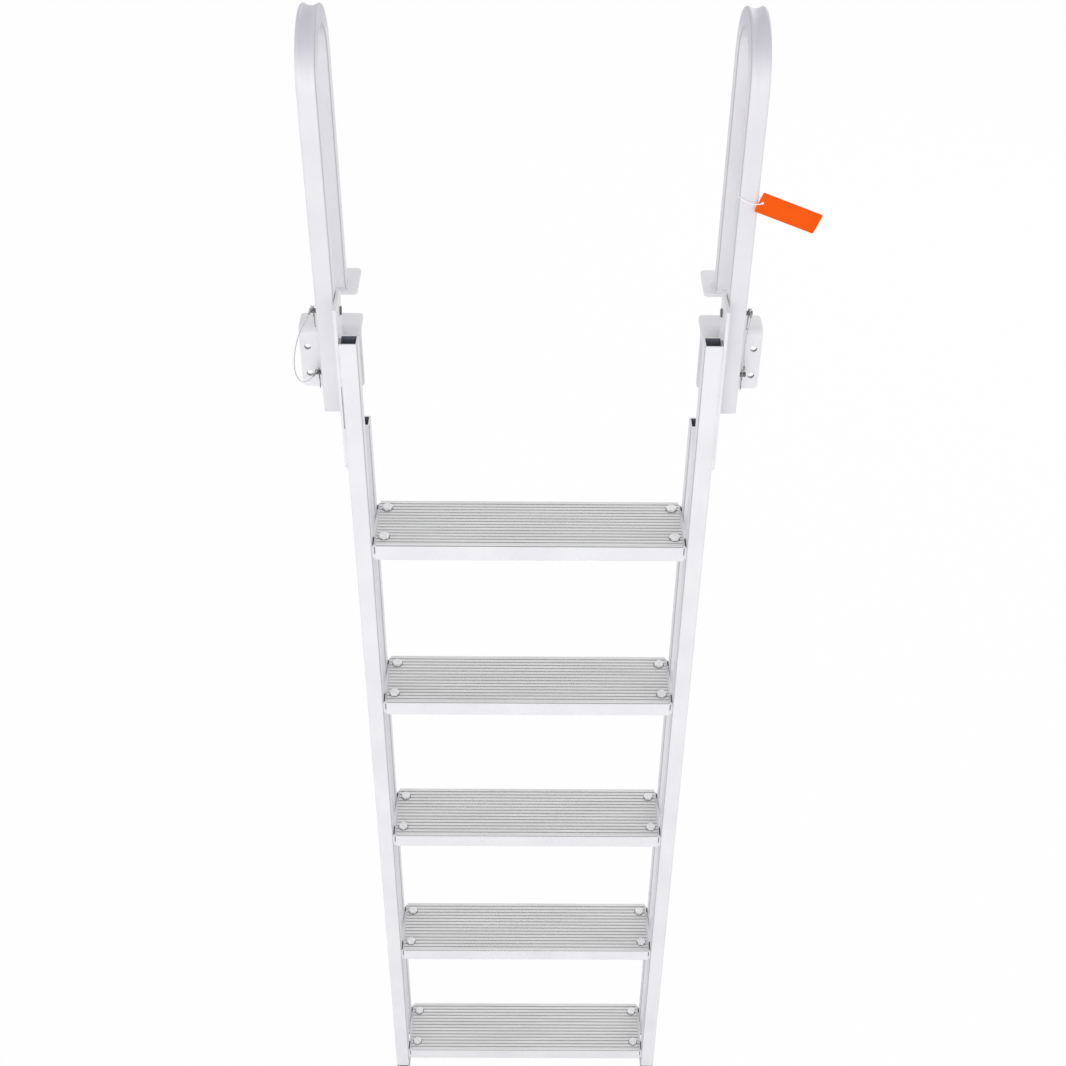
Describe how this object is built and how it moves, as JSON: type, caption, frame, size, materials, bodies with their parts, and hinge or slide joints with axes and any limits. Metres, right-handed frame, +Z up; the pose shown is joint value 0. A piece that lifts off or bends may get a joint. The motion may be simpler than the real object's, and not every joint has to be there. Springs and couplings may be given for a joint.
{
  "type": "dock ladder",
  "caption": "Flip-up dock ladder of white square tube with ribbed treads, hinged on pins between two hoop handrails that bolt over a dock's edge",
  "frame": {"origin": "on the left bracket's dock face, in the middle of its four bolt holes", "axes": "+X to the right along the dock's edge, +Y from the water into the dock, +Z up"},
  "size_m": [0.6508, 0.214, 1.957],
  "materials": {
    "white_coat": "smooth white powder coat",
    "bare_aluminium": "bare, ribbed, satin",
    "bare_steel": "satin stainless steel",
    "dark_plastic": "moulded, matte",
    "lanyard_wire": "thin stranded wire",
    "white_string": "thin twisted string",
    "orange_plastic": "thin printed sheet, left blank"
  },
  "bodies": {
    "handrails": {"hang_tag": "orange_plastic", "left_bracket": "white_coat", "left_foot_plate": "white_coat", "left_handrail": "white_coat", "left_hinge_clip": "bare_steel", "left_hinge_pin": "bare_steel", "left_lanyard": "lanyard_wire", "left_stop_clip": "bare_steel", "left_stop_pin": "bare_steel", "right_bracket": "white_coat", "right_foot_plate": "white_coat", "right_handrail": "white_coat", "right_hinge_clip": "bare_steel", "right_hinge_pin": "bare_steel", "right_lanyard": "lanyard_wire", "right_stop_clip": "bare_steel", "right_stop_pin": "bare_steel", "tag_band": "white_string", "tag_string": "white_string"},
    "ladder": {"left_front_rail": "white_coat", "left_hinge_plate": "white_coat", "left_rail_caps": "dark_plastic", "left_rear_rail": "white_coat", "right_front_rail": "white_coat", "right_hinge_plate": "white_coat", "right_rail_caps": "dark_plastic", "right_rear_rail": "white_coat", "step_bolts_1": "bare_steel", "step_bolts_2": "bare_steel", "step_bolts_3": "bare_steel", "step_bolts_4": "bare_steel", "step_bolts_5": "bare_steel", "step_frame_1": "white_coat", "step_frame_2": "white_coat", "step_frame_3": "white_coat", "step_frame_4": "white_coat", "step_frame_5": "white_coat", "step_tread_1": "bare_aluminium", "step_tread_2": "bare_aluminium", "step_tread_3": "bare_aluminium", "step_tread_4": "bare_aluminium", "step_tread_5": "bare_aluminium"}
  },
  "joints": [
    {"name": "ladder_flip", "type": "hinge", "parent": "handrails", "child": "ladder", "pos_m": [0.257, -0.017, 0.08], "axis": [-1, 0, 0], "range_deg": [0, 180]}
  ]
}
